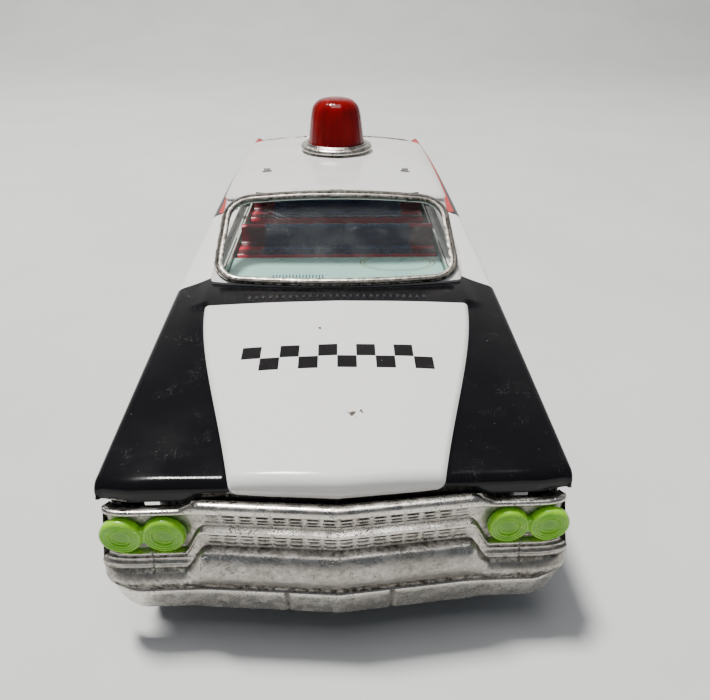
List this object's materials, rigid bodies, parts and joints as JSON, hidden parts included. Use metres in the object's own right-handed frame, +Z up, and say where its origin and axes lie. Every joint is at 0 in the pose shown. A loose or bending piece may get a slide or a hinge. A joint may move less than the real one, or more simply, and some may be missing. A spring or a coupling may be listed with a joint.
{
  "type": "tin toy police car",
  "caption": "Friction-drive tin toy police saloon with finned black and white body, chrome grille and bumpers, red roof beacon, green headlamp lenses and a flywheel motor.",
  "frame": {"origin": "on the ground plane, at the middle of the bounding box", "axes": "+Z up, +Y towards the rear bumper, the car faces -Y, +X is the car's left side"},
  "size_m": [0.1054, 0.283, 0.0961],
  "materials": {
    "black_paint": "gloss lithographed black tin, finely scuffed",
    "white_paint": "gloss lithographed warm white tin",
    "red_paint": "gloss lithographed red tin",
    "chrome_trim": "tarnished, pitted plating",
    "clear_pane": "thin clear celluloid with dust and scratches",
    "bare_tin": "bare tinplate",
    "steel": "dull turned steel",
    "mint_print": "gloss printed mint green tin",
    "seat_print": "printed navy blue and crimson tin",
    "green_lens": "translucent fluorescent green",
    "red_lens": "translucent deep red, glossy",
    "rubber": "matt black rubber",
    "brass": "dull stamped brass"
  },
  "bodies": {
    "car_body": {"body_shell": "black_paint", "roof_shell": "white_paint", "windshield_frame": "chrome_trim", "windshield_pane": "clear_pane", "rear_window_frame": "chrome_trim", "rear_window_pane": "clear_pane", "left_side_pane": "clear_pane", "right_side_pane": "clear_pane", "roof_brace": "bare_tin", "interior_tub": "mint_print", "front_seat": "seat_print", "rear_seat": "seat_print", "front_grille": "chrome_trim", "left_headlamp_lens": "green_lens", "right_headlamp_lens": "green_lens", "rear_bumper": "chrome_trim", "left_tail_lamp": "red_lens", "right_tail_lamp": "red_lens", "base_plate": "bare_tin", "front_axle_bracket": "bare_tin", "motor_left_plate": "bare_tin", "motor_right_plate": "bare_tin", "motor_pillar_1": "steel", "motor_pillar_2": "steel", "motor_pillar_3": "steel", "beacon_flange": "chrome_trim", "beacon_dome": "red_lens", "beacon_eyelet": "bare_tin"},
    "front_wheels": {"front_axle": "steel", "front_left_tyre": "rubber", "front_left_wheel": "chrome_trim", "front_right_tyre": "rubber", "front_right_wheel": "chrome_trim"},
    "rear_wheels": {"rear_axle": "steel", "rear_left_tyre": "rubber", "rear_left_wheel": "chrome_trim", "rear_right_tyre": "rubber", "rear_right_wheel": "chrome_trim", "axle_gear": "brass"},
    "layshaft": {"layshaft_gear": "brass"},
    "flywheel_rotor": {"flywheel": "steel"}
  },
  "joints": [
    {"name": "front_axle_spin", "type": "hinge", "parent": "car_body", "child": "front_wheels", "pos_m": [0, -0.094, 0.0175], "axis": [1, 0, 0], "continuous": true},
    {"name": "rear_axle_spin", "type": "hinge", "parent": "car_body", "child": "rear_wheels", "pos_m": [0, 0.069, 0.0175], "axis": [1, 0, 0], "continuous": true},
    {"name": "layshaft_spin", "type": "hinge", "parent": "car_body", "child": "layshaft", "pos_m": [0, 0.05886, 0.0246], "axis": [1, 0, 0], "continuous": true},
    {"name": "flywheel_spin", "type": "hinge", "parent": "car_body", "child": "flywheel_rotor", "pos_m": [0, 0.0468, 0.02247], "axis": [1, 0, 0], "continuous": true}
  ],
  "couplings": [
    {"joint": "layshaft_spin", "follows": "rear_axle_spin", "ratio": -2.6667},
    {"joint": "flywheel_spin", "follows": "rear_axle_spin", "ratio": 7.7037}
  ]
}
